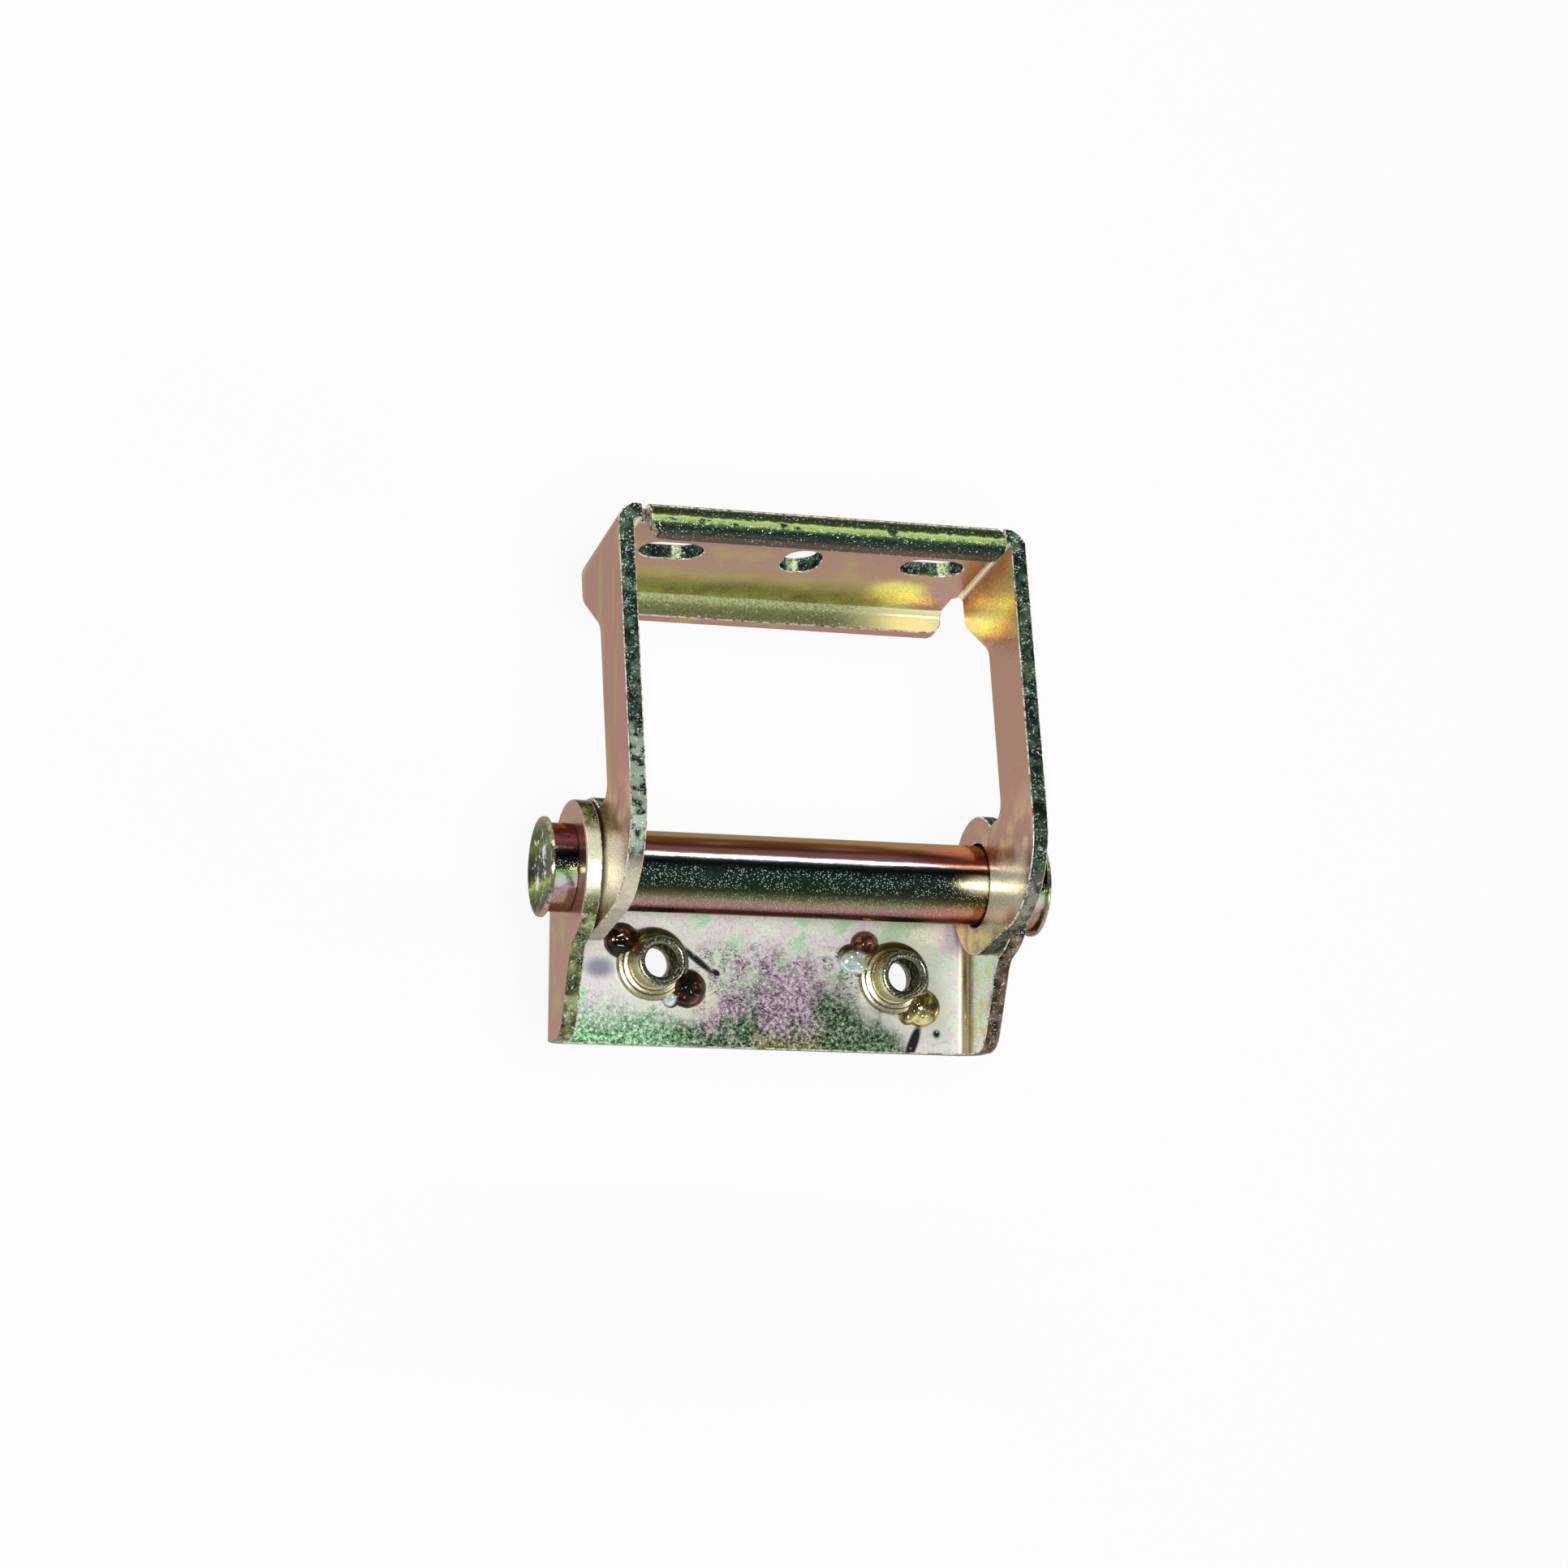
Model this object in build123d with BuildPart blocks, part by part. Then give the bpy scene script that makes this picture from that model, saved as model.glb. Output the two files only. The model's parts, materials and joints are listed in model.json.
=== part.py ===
from build123d import *
import os
from math import asin, atan2, cos, degrees, hypot, radians, sin, sqrt, tan

# Pivoting seat bracket: a U-shaped base bracket with two weld nuts, and a yoke that swings on
# a riveted tube between its ears. All sizes are in millimetres.
# The origin is the centre of the base plate's back face, X runs along the pivot axis, Y goes
# from the foot of the bracket towards the yoke, and Z points away from the mounting surface.

# Sheet and clearances
plate = 3.5                 # thickness of both stampings
side_gap = 0.5              # between an arm and the ear beside it
swing_clearance = 0.2       # radial, between an arm's hole and the tube that it turns on
rivet_clearance = 0.2       # radial, around the rivet's shank

# Base bracket, measured from the pivot axis unless said otherwise
pivot_height = 20.3         # from the back face to the pivot axis
foot_length = 35.5          # from the pivot axis down to the foot edge
base_rise = 4.0             # how far the base plate passes the axis
ear_radius = 15.3
ear_drop = 0.9              # the ears' round heads sit this much nearer the foot than the axis
ear_toe_height = 14.2       # height of an ear at the foot, before its corner is rounded
ear_taper = 23.3            # slope of an ear's front edge, in degrees
ear_toe_radius = 6.5
ear_neck_radius = 5.0       # where the round head meets the taper
ear_back_radius = 2.0       # where the round head meets the base plate's edge
base_bend = 2.0             # inner bend radius
nut_spacing = 54.8
nut_drop = 18.6             # from the pivot axis down to the line of the nuts
nut_offset = 1.2            # the pair sits this far right of the middle
nut_skew = 1.2              # the right nut sits this much lower than the left one

# Weld nut, M8 with a collar and a round flange
thread_bore = 6.8
nut_hole = 8.4              # clearance hole in the base plate
nut_collar = 10.7
nut_flange = 15.9
nut_flange_height = 2.0
nut_height = 9.0
nut_lead_in = 1.0           # chamfer at the mouth of the thread
nut_edge = 0.6

# Pivot
tube_diameter = 18.0
rivet_diameter = 12.0
collar_diameter = 18.8
collar_length = 5.25
head_diameter = 21.2
head_thickness = 1.0
head_bevel = 0.35
edge_break = 0.4

# Yoke, in its own directions: u from the pivot axis to the web, v from back to front
yoke_width = 90.5           # over the outer faces of the arms
arm_length = 68.6           # from the pivot axis to the web's outer face
arm_front = 36.4
shank_back = 18.5           # back edge of the narrow part, ahead of the axis
shoulder_back = 5.2         # back edge of the wide part, ahead of the axis
shank_top = 47.5            # where the back edge starts to slope out
shoulder_start = 58.5       # where the slope ends
shoulder_radius = 4.5
eye_radius = 15.0
heel_radius = 19.0
notch_floor = 9.8
notch_radius = 3.3
arm_bend = 1.0              # inner bend radius between arm and web
lip_width = 78.4
lip_offset = 0.4            # the lips sit this far right of the middle
front_lip_bend = 2.5        # inner bend radius
back_lip_bend = 2.0
lip_corner = 3.0
front_lip = 8.2             # height of each lip from the web's outer face
back_lip = 8.4
web_back = 7.3              # outer face of the back lip, behind the axis
relief_radius = 1.2
relief_width = 1.0
slot_spacing = 58.6
slot_length = 14.0
slot_width = 8.4
slot_front = 20.4           # slot line, ahead of the axis
middle_slot_length = 11.7
middle_slot_width = 8.2
middle_slot_front = 19.3

# Weld beads, each of round lobes: place from the nut's axis along X and Y, radius, height
bead_shoulder = 0.6         # share of a lobe's height at which its side turns inward
bead_girth = 0.82           # radius there, and at the crown, as shares of the lobe's radius
bead_crown = 0.4
left_upper_bead = [(-6.9, 4.9, 4.0, 3.0), (-4.6, 5.4, 2.4, 2.6)]
left_lower_bead = [(8.0, -5.0, 4.3, 3.1), (4.2, -7.2, 2.2, 2.2)]
right_upper_bead = [(-6.6, 7.0, 3.3, 3.2), (-9.6, 4.0, 3.3, 2.2), (-7.6, 2.2, 2.2, 2.4)]
right_lower_bead = [(6.6, -6.2, 4.3, 3.0), (3.4, -8.0, 2.2, 2.0)]

# Values that follow from the ones above
ear_inner = yoke_width / 2 + side_gap
ear_outer = ear_inner + plate
base_length = foot_length + base_rise
pivot_y = foot_length - base_length / 2
pivot = Vector(0, pivot_y, pivot_height)
arm_outer = yoke_width / 2
arm_inner = arm_outer - plate
lip_front = arm_front + plate
arm_hole = tube_diameter / 2 + swing_clearance
rivet_hole = rivet_diameter / 2 + rivet_clearance
rivet_half = ear_outer + collar_length

# At rest the yoke leans back until the bend of its back lip meets the mounting surface
bend_radius = back_lip_bend + plate
bend_u = arm_length - bend_radius
bend_v = bend_radius - web_back
bend_drop = asin((pivot_height - bend_radius) / hypot(bend_u, bend_v))
yoke_tilt = degrees(bend_drop + atan2(bend_v, bend_u))

# Directions of the yoke at rest
up_arm = Vector(0, cos(radians(yoke_tilt)), -sin(radians(yoke_tilt)))
forward = Vector(0, sin(radians(yoke_tilt)), cos(radians(yoke_tilt)))
along = Vector(1, 0, 0)

side_of_base = Plane(origin=pivot, x_dir=(0, 1, 0), z_dir=along)
side_of_yoke = Plane(origin=pivot, x_dir=up_arm, z_dir=along)

os.makedirs("parts", exist_ok=True)


def corner(sketch, x, y):
    """The sketch's vertex nearest to a point."""
    return sketch.vertices().sort_by_distance((x, y, 0))[0]


def save(part, name):
    part.label = name
    export_step(part, f"parts/{name}.step")


# Base bracket: a U-shaped channel, cut to the ears' outline
taper = tan(radians(ear_taper))
toe = ear_toe_height - pivot_height
taper_at_axis = toe + taper * foot_length
taper_at_head = taper_at_axis - taper * ear_drop
half_chord = taper * taper_at_head
neck_y = -(half_chord + sqrt(half_chord**2 - (1 + taper**2) * (taper_at_head**2 - ear_radius**2)))
neck_y = neck_y / (1 + taper**2) - ear_drop

with BuildPart() as lower_bracket:
    ear_top = ear_radius - ear_drop
    top_of_ears = Plane(origin=(0, pivot_y + ear_top, 0), x_dir=along, z_dir=(0, -1, 0))
    ear_height = pivot_height + ear_radius
    with BuildSketch(top_of_ears) as channel:
        Rectangle(2 * ear_outer, ear_height, align=(Align.CENTER, Align.MIN))
        fillet([corner(channel, side * ear_outer, 0) for side in (-1, 1)], base_bend + plate)
        with Locations((0, plate)):
            Rectangle(2 * ear_inner, ear_height, align=(Align.CENTER, Align.MIN), mode=Mode.SUBTRACT)
        fillet([corner(channel, side * ear_inner, plate) for side in (-1, 1)], base_bend)
    extrude(amount=foot_length + ear_top)
    with BuildSketch(side_of_base) as ear:
        with Locations((-ear_drop, 0)):
            Circle(ear_radius)
        with BuildLine():
            Polyline(
                (-foot_length, -pivot_height),
                (base_rise, -pivot_height),
                (base_rise, 0),
                (0, taper_at_axis),
                (-foot_length, toe),
                close=True,
            )
        make_face()
        fillet(corner(ear, -foot_length, toe), ear_toe_radius)
        fillet(corner(ear, neck_y, taper_at_axis + taper * neck_y), ear_neck_radius)
        fillet(corner(ear, base_rise, -sqrt(ear_radius**2 - (base_rise + ear_drop) ** 2)), ear_back_radius)
    extrude(amount=ear_outer, both=True, mode=Mode.INTERSECT)
    with BuildSketch(side_of_base):
        Circle(rivet_hole)
    extrude(amount=ear_outer, both=True, mode=Mode.SUBTRACT)
    with Locations(
        (nut_offset - nut_spacing / 2, pivot_y - nut_drop + nut_skew / 2, plate),
        (nut_offset + nut_spacing / 2, pivot_y - nut_drop - nut_skew / 2, plate),
    ):
        Hole(nut_hole / 2, plate)
save(lower_bracket.part, "lower_bracket")


# Yoke: arms and web are one channel, and the lipped web runs past the arms front and back
with BuildPart() as lipped_web:
    with BuildSketch(side_of_yoke.offset(lip_offset)) as web_section:
        with BuildLine():
            Polyline(
                (arm_length - back_lip, -web_back),
                (arm_length, -web_back),
                (arm_length, lip_front),
                (arm_length - front_lip, lip_front),
                (arm_length - front_lip, arm_front),
                (arm_length - plate, arm_front),
                (arm_length - plate, plate - web_back),
                (arm_length - back_lip, plate - web_back),
                close=True,
            )
        make_face()
        fillet(corner(web_section, arm_length, lip_front), front_lip_bend + plate)
        fillet(corner(web_section, arm_length - plate, arm_front), front_lip_bend)
        fillet(corner(web_section, arm_length, -web_back), back_lip_bend + plate)
        fillet(corner(web_section, arm_length - plate, plate - web_back), back_lip_bend)
    extrude(amount=lip_width / 2, both=True)
    lip_ends = lipped_web.edges().filter_by(Axis(pivot, forward)).filter_by(GeomType.LINE)
    fillet([edge for edge in lip_ends if edge.length < plate + 0.01], lip_corner)

with BuildPart() as upper_frame:
    back_of_eye = Plane(origin=pivot - forward * eye_radius, x_dir=along, z_dir=forward)
    with BuildSketch(back_of_eye) as yoke_section:
        with Locations((0, arm_length)):
            Rectangle(yoke_width, arm_length + eye_radius, align=(Align.CENTER, Align.MAX))
        fillet([corner(yoke_section, side * arm_outer, arm_length) for side in (-1, 1)], arm_bend + plate)
        with Locations((0, arm_length - plate)):
            Rectangle(2 * arm_inner, arm_length + eye_radius, align=(Align.CENTER, Align.MAX), mode=Mode.SUBTRACT)
        fillet([corner(yoke_section, side * arm_inner, arm_length - plate) for side in (-1, 1)], arm_bend)
    extrude(amount=eye_radius + arm_front)

    notch_back = sqrt(eye_radius**2 - notch_floor**2)
    notch_angle = degrees(atan2(notch_back, notch_floor))
    heel_u = heel_radius - eye_radius
    heel_v = arm_front - heel_radius
    with BuildSketch(side_of_yoke):
        with BuildLine():
            Line((arm_length, arm_front), (heel_u, arm_front))
            CenterArc((heel_u, heel_v), heel_radius, 90, 90)
            Line((-eye_radius, heel_v), (-eye_radius, 0))
            CenterArc((0, 0), eye_radius, 180, 180 + notch_angle)
            Line((notch_floor, notch_back), (notch_floor, shank_back - notch_radius))
            CenterArc((notch_floor + notch_radius, shank_back - notch_radius), notch_radius, 180, -90)
            FilletPolyline(
                (notch_floor + notch_radius, shank_back),
                (shank_top, shank_back),
                (shoulder_start, shoulder_back),
                (arm_length, shoulder_back),
                radius=shoulder_radius,
            )
            Line((arm_length, shoulder_back), (arm_length, arm_front))
        make_face()
        Circle(arm_hole, mode=Mode.SUBTRACT)
    extrude(amount=arm_outer, both=True, mode=Mode.INTERSECT)
    add(lipped_web.part)

    # Relief beside each lip: rounded at the back, a saw cut at the front bend
    web_top = Plane(origin=pivot + up_arm * arm_length, x_dir=along, z_dir=-up_arm)
    with BuildSketch(web_top):
        for side in (-1, 1):
            with Locations((lip_offset + side * (lip_width + relief_width) / 2, arm_front)):
                Rectangle(relief_width, front_lip_bend, align=(Align.CENTER, Align.MAX))
    extrude(amount=plate, mode=Mode.SUBTRACT)
    for side in (-1, 1):
        inside_corner = pivot + up_arm * (arm_length - plate / 2) + forward * shoulder_back
        inside_corner += along * (lip_offset + side * lip_width / 2)
        relief = upper_frame.edges().filter_by(Axis(pivot, up_arm)).sort_by_distance(inside_corner)[0]
        fillet(relief, relief_radius)

    with BuildSketch(web_top):
        with Locations((-slot_spacing / 2, slot_front), (slot_spacing / 2, slot_front)):
            SlotOverall(slot_length, slot_width)
        with Locations((0, middle_slot_front)):
            SlotOverall(middle_slot_length, middle_slot_width, rotation=90)
    extrude(amount=plate, mode=Mode.SUBTRACT)
save(upper_frame.part, "upper_frame")


# Pivot: the tube butts on both ears, and the rivet holds the collars outside them
with BuildPart() as spacer_tube:
    with BuildSketch(side_of_base):
        Circle(tube_diameter / 2)
        Circle(rivet_hole, mode=Mode.SUBTRACT)
    extrude(amount=ear_inner, both=True)
    chamfer(spacer_tube.edges().filter_by(GeomType.CIRCLE).group_by(SortBy.RADIUS)[-1], edge_break)
save(spacer_tube.part, "spacer_tube")

with BuildPart() as pivot_rivet:
    with BuildSketch(side_of_base):
        Circle(rivet_diameter / 2)
    extrude(amount=rivet_half, both=True)
    for side in (-1, 1):
        head_plane = Plane(origin=pivot + along * (side * rivet_half), z_dir=along * side)
        with BuildSketch(head_plane):
            Circle(head_diameter / 2)
        extrude(amount=head_thickness)
    rims = pivot_rivet.edges().filter_by(GeomType.CIRCLE).sort_by(Axis.X)
    chamfer([rims[0], rims[-1]], head_bevel)
save(pivot_rivet.part, "pivot_rivet")

for side, name in ((-1, "left_collar"), (1, "right_collar")):
    with BuildPart() as collar:
        with BuildSketch(Plane(origin=pivot + along * (side * ear_outer), z_dir=along * side)):
            Circle(collar_diameter / 2)
            Circle(rivet_hole, mode=Mode.SUBTRACT)
        extrude(amount=collar_length)
        rims = collar.edges().filter_by(GeomType.CIRCLE).group_by(SortBy.RADIUS)[-1]
        chamfer(rims.sort_by_distance((0, 0, 0))[0], edge_break)
    save(collar.part, name)


# Weld nuts and their beads
def weld_nut(x, y):
    """A collar nut on the base plate, turned about its own axis."""
    with BuildPart() as nut:
        with BuildSketch(Plane(origin=(x, y, plate), x_dir=(1, 0, 0), z_dir=(0, -1, 0))) as profile:
            with BuildLine():
                Polyline(
                    (thread_bore / 2, 0),
                    (nut_flange / 2, 0),
                    (nut_flange / 2, nut_flange_height),
                    (nut_collar / 2, nut_flange_height),
                    (nut_collar / 2, nut_height),
                    (thread_bore / 2 + nut_lead_in, nut_height),
                    (thread_bore / 2, nut_height - nut_lead_in),
                    close=True,
                )
            make_face()
            chamfer(corner(profile, nut_flange / 2, nut_flange_height), nut_edge)
            chamfer(corner(profile, nut_collar / 2, nut_height), edge_break)
        revolve(axis=Axis((x, y, 0), (0, 0, 1)))
    return nut.part


def weld_bead(nut, x, y, lobes):
    """A tack weld of round lobes that lies against the nut and on the plate."""
    on_plate = (Align.CENTER, Align.CENTER, Align.MIN)
    with BuildPart() as bead:
        for dx, dy, radius, height in lobes:
            shoulder = bead_shoulder * height
            with Locations((x + dx, y + dy, plate)):
                Cone(radius, bead_girth * radius, shoulder, align=on_plate)
            with Locations((x + dx, y + dy, plate + shoulder)):
                Cone(bead_girth * radius, bead_crown * radius, height - shoulder, align=on_plate)
        add(nut, mode=Mode.SUBTRACT)
    return bead.part


nut_beads = {
    "left": (left_upper_bead, left_lower_bead),
    "right": (right_upper_bead, right_lower_bead),
}
for side, hand in ((-1, "left"), (1, "right")):
    nut_x = nut_offset + side * nut_spacing / 2
    nut_y = pivot_y - nut_drop - side * nut_skew / 2
    nut = weld_nut(nut_x, nut_y)
    save(nut, f"weld_nut_{hand}")
    for lobes, place in zip(nut_beads[hand], ("upper", "lower")):
        save(weld_bead(nut, nut_x, nut_y, lobes), f"weld_bead_{hand}_{place}")
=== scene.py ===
import json
from functools import partial, reduce
from math import cos, hypot, pi, radians, sin

import bmesh
import bpy
from mathutils import Matrix, Vector, noise


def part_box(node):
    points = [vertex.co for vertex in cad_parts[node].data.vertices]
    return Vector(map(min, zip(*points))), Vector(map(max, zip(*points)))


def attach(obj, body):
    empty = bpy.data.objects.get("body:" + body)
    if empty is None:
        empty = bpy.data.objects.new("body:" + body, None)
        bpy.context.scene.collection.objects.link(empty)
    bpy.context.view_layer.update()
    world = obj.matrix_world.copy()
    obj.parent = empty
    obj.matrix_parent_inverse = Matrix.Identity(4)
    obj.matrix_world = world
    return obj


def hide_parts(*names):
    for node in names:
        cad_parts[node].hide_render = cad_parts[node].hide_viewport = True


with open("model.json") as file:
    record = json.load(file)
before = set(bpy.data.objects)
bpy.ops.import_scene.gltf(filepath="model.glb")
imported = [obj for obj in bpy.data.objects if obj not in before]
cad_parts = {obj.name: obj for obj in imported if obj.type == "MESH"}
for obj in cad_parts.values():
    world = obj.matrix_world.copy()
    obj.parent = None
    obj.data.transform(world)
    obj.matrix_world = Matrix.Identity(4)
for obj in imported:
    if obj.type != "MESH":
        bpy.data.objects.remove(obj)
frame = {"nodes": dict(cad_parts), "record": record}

MM = 0.001
X_AXIS, Y_AXIS, Z_AXIS = Vector((1, 0, 0)), Vector((0, 1, 0)), Vector((0, 0, 1))
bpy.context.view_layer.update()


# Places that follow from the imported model, in metres
def centre(node):
    low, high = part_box(node)
    return (low + high) / 2


pivot = centre("spacer_tube")
tube_radius = (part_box("spacer_tube")[1].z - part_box("spacer_tube")[0].z) / 2
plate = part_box("weld_nut_left")[0].z
web_mount = next(m for m in frame["record"]["mounts"] if m["name"] == "web_outer")
up_arm = Vector(web_mount["axis"])
forward = Vector((0, -up_arm.z, up_arm.y))
arm_length = (Vector(web_mount["pos_m"]) - pivot).dot(up_arm)

# The yoke's own sizes: across the arms, along them and from back to front
arm_inner = 41.75 * MM
lip_half = 39.2 * MM
arm_front = 36.4 * MM
shoulder_back = 5.2 * MM


# Camera: the photograph's view, as an image of 1932 by 1932 pixels
def make_camera():
    image_size = 1932
    focal_length = 4943.7       # in pixels
    turn, tilt, roll = radians(17.29), radians(8.17), radians(-0.39)
    aim_off = Vector((-1.64, 20.0, 857.8)) * MM
    data = bpy.data.cameras.new("camera")
    data.sensor_width = 36.0
    data.lens = focal_length / image_size * data.sensor_width
    data.clip_start = 0.05
    camera = bpy.data.objects.new("camera", data)
    view = Matrix.Rotation(roll, 3, "Z") @ Matrix.Rotation(-tilt, 3, "X") @ Matrix.Rotation(turn, 3, "Y")
    back = view.transposed()
    camera.matrix_world = Matrix.Translation(pivot + back @ aim_off) @ back.to_4x4()
    bpy.context.scene.collection.objects.link(camera)
    bpy.context.scene.camera = camera


class Shader:
    """A small builder for one node material. Lengths in it are millimetres of the object's frame."""

    def __init__(self, name):
        self.material = bpy.data.materials.new(name)
        self.material.use_nodes = True
        self.tree = self.material.node_tree
        self.tree.nodes.clear()
        self.output = self.tree.nodes.new("ShaderNodeOutputMaterial")
        place = self.add("ShaderNodeTexCoord").outputs["Object"]
        self.place = self.vector("SCALE", place, 1 / MM)

    def add(self, kind, **settings):
        made = self.tree.nodes.new(kind)
        for key, value in settings.items():
            setattr(made, key, value)
        return made

    def put(self, socket, value):
        if isinstance(value, bpy.types.NodeSocket):
            self.tree.links.new(value, socket)
        else:
            socket.default_value = value

    def math(self, operation, a, b=0.0, c=0.0):
        made = self.add("ShaderNodeMath", operation=operation)
        for socket, value in zip(made.inputs, (a, b, c)):
            self.put(socket, value)
        return made.outputs[0]

    def times(self, *values):
        return reduce(partial(self.math, "MULTIPLY"), values)

    def plus(self, *values):
        return reduce(partial(self.math, "ADD"), values)

    def largest(self, *values):
        return reduce(partial(self.math, "MAXIMUM"), values)

    def hypotenuse(self, a, b):
        return self.math("SQRT", self.plus(self.times(a, a), self.times(b, b)))

    def sway(self, value, amount):
        """A value between 0 and 1 as an offset of up to this amount either way."""
        return self.math("MULTIPLY_ADD", value, 2 * amount, -amount)

    def vector(self, operation, a, *others):
        made = self.add("ShaderNodeVectorMath", operation=operation)
        sockets = [made.inputs["Scale"]] if operation == "SCALE" else made.inputs[1:3]
        self.put(made.inputs[0], a)
        for socket, value in zip(sockets, others):
            self.put(socket, value)
        return made.outputs["Value"] if operation in ("DOT_PRODUCT", "LENGTH") else made.outputs[0]

    def along(self, direction, origin=pivot):
        """Signed distance from the origin along a direction."""
        offset = self.vector("SUBTRACT", self.place, origin / MM)
        return self.vector("DOT_PRODUCT", offset, direction)

    def axes(self):
        """Distances from the middle of the pivot axis along x, y and z."""
        return [self.along(axis) for axis in (X_AXIS, Y_AXIS, Z_AXIS)]

    def noise(self, size, detail=2.0, rough=0.5, stretch=(1, 1, 1), shift=0.0, warp=0.0):
        """Noise between 0 and 1 whose blobs are about this many millimetres across."""
        made = self.add("ShaderNodeTexNoise")
        place = self.vector("MULTIPLY_ADD", self.place, stretch, (shift, shift, shift))
        self.put(made.inputs["Vector"], place)
        self.put(made.inputs["Scale"], 1 / size)
        self.put(made.inputs["Detail"], detail)
        self.put(made.inputs["Roughness"], rough)
        self.put(made.inputs["Distortion"], warp)
        return made.outputs["Fac"]

    def cells(self, size, shift=0.0):
        """Distance to the nearest of scattered points, in cell sizes."""
        made = self.add("ShaderNodeTexVoronoi")
        self.put(made.inputs["Vector"], self.vector("ADD", self.place, (shift, shift, shift)))
        self.put(made.inputs["Scale"], 1 / size)
        return made.outputs["Distance"]

    def span(self, value, low, high, to_low=0.0, to_high=1.0, smooth=True):
        made = self.add("ShaderNodeMapRange", interpolation_type="SMOOTHSTEP" if smooth else "LINEAR")
        for socket, number in zip(made.inputs, (value, low, high, to_low, to_high)):
            self.put(socket, number)
        return made.outputs[0]

    def mix(self, share, a, b, blend="MIX"):
        made = self.add("ShaderNodeMix", data_type="RGBA", blend_type=blend)
        self.put(made.inputs[0], share)
        self.put(made.inputs[6], (*a, 1) if isinstance(a, tuple) else a)
        self.put(made.inputs[7], (*b, 1) if isinstance(b, tuple) else b)
        return made.outputs[2]

    def ramp(self, value, stops):
        made = self.add("ShaderNodeValToRGB")
        points = made.color_ramp.elements
        while len(points) < len(stops):
            points.new(0.5)
        for point, (position, color) in zip(points, stops):
            point.position = position
            point.color = (*color, 1)
        self.put(made.inputs[0], value)
        return made.outputs[0]

    def bump(self, height, depth, normal=None):
        """Relief from a height between 0 and 1, this many millimetres deep."""
        made = self.add("ShaderNodeBump")
        self.put(made.inputs["Distance"], depth * MM)
        self.put(made.inputs["Height"], height)
        if normal is not None:
            self.put(made.inputs["Normal"], normal)
        return made.outputs[0]

    def spot(self, x, y, length, width, angle=0.0, edge=0.3):
        """1 inside an ellipse on the base plate, placed from the pivot axis, with a soft edge."""
        c, s = cos(radians(angle)), sin(radians(angle))
        middle = pivot + Vector((x, y, 0)) * MM
        a = self.times(self.along(Vector((c, s, 0)), middle), 2 / length)
        b = self.times(self.along(Vector((-s, c, 0)), middle), 2 / width)
        return self.span(self.hypotenuse(a, b), 1 - edge, 1 + edge, 1.0, 0.0)

    def between(self, value, low, high, soft):
        """1 from low to high, fading out over the soft distance on each side."""
        return self.times(self.span(value, low - soft, low), self.span(value, high, high + soft, 1.0, 0.0))

    def metal(self, color, roughness, normal=None, metallic=1.0, coat=0.0, edge=(1, 1, 1)):
        made = self.add("ShaderNodeBsdfPrincipled")
        self.put(made.inputs["Base Color"], (*color, 1) if isinstance(color, tuple) else color)
        self.put(made.inputs["Metallic"], metallic)
        self.put(made.inputs["Roughness"], roughness)
        self.put(made.inputs["Coat Weight"], coat)
        self.put(made.inputs["Specular Tint"], (*edge, 1))
        if normal is not None:
            self.put(made.inputs["Normal"], normal)
        self.put(self.output.inputs["Surface"], made.outputs[0])
        return self.material


# Colours of the yellow chromate film, some of them also used for painted highlights
MAUVE = (0.46, 0.28, 0.22)
ROSE = (0.50, 0.27, 0.25)
TAN = (0.50, 0.38, 0.20)
LIME = (0.62, 0.72, 0.22)
OLIVE = (0.34, 0.33, 0.07)
CREAM = (0.86, 0.84, 0.58)
PALE = (0.78, 0.84, 0.74)
WHITE = (0.90, 0.90, 0.86)
BRONZE = (0.16, 0.11, 0.06)
MAROON = (0.10, 0.03, 0.03)
BLACK_GREEN = (0.025, 0.05, 0.035)
BLACK = (0.012, 0.014, 0.014)


def web_color(s, u, v, x):
    """Rolled face of the web: lime and gold at the back, mauve in front, with one painted bright highlight
    inside.
    """
    depth = s.plus(v, s.sway(s.noise(9, shift=7), 3.0))
    color = s.ramp(s.span(depth, -4.0, 34.0, smooth=False), [
        (0.00, (0.80, 0.80, 0.36)), (0.16, (0.76, 0.76, 0.30)), (0.30, (0.58, 0.48, 0.20)),
        (0.44, (0.50, 0.35, 0.23)), (0.60, (0.48, 0.31, 0.24)), (1.00, (0.44, 0.28, 0.24)),
    ])
    rainbow = s.noise(9, detail=1, stretch=(1, 1, 0.6), shift=21)
    color = s.mix(s.span(rainbow, 0.50, 0.64, 0.0, 0.7), color, (0.52, 0.42, 0.20))
    color = s.mix(s.span(x, 27, 36), color, (0.54, 0.34, 0.28))
    # Painted highlight: a bright yellow patch near the back of the web.
    glow = s.times(s.between(x, 23, 28, 6), s.between(depth, 5, 9, 5), s.span(u, 67.5, 66.5))
    return s.mix(glow, color, (0.95, 0.95, 0.30))


def inner_arm_color(s, u):
    """Inner face of the right arm, with yellow and orange bands near the web, partly the film's colour and
    partly a painted reflection of the bright back lip.
    """
    reach = s.plus(u, s.sway(s.noise(8, shift=3), 2.5))
    return s.ramp(s.span(reach, 30.0, 66.0, smooth=False), [
        (0.00, MAUVE), (0.46, MAUVE), (0.54, (0.74, 0.46, 0.24)), (0.62, (1.0, 0.92, 0.42)),
        (0.76, (1.0, 0.97, 0.52)), (0.84, (0.96, 0.76, 0.32)), (0.92, (0.70, 0.50, 0.24)), (1.00, BRONZE),
    ])


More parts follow.
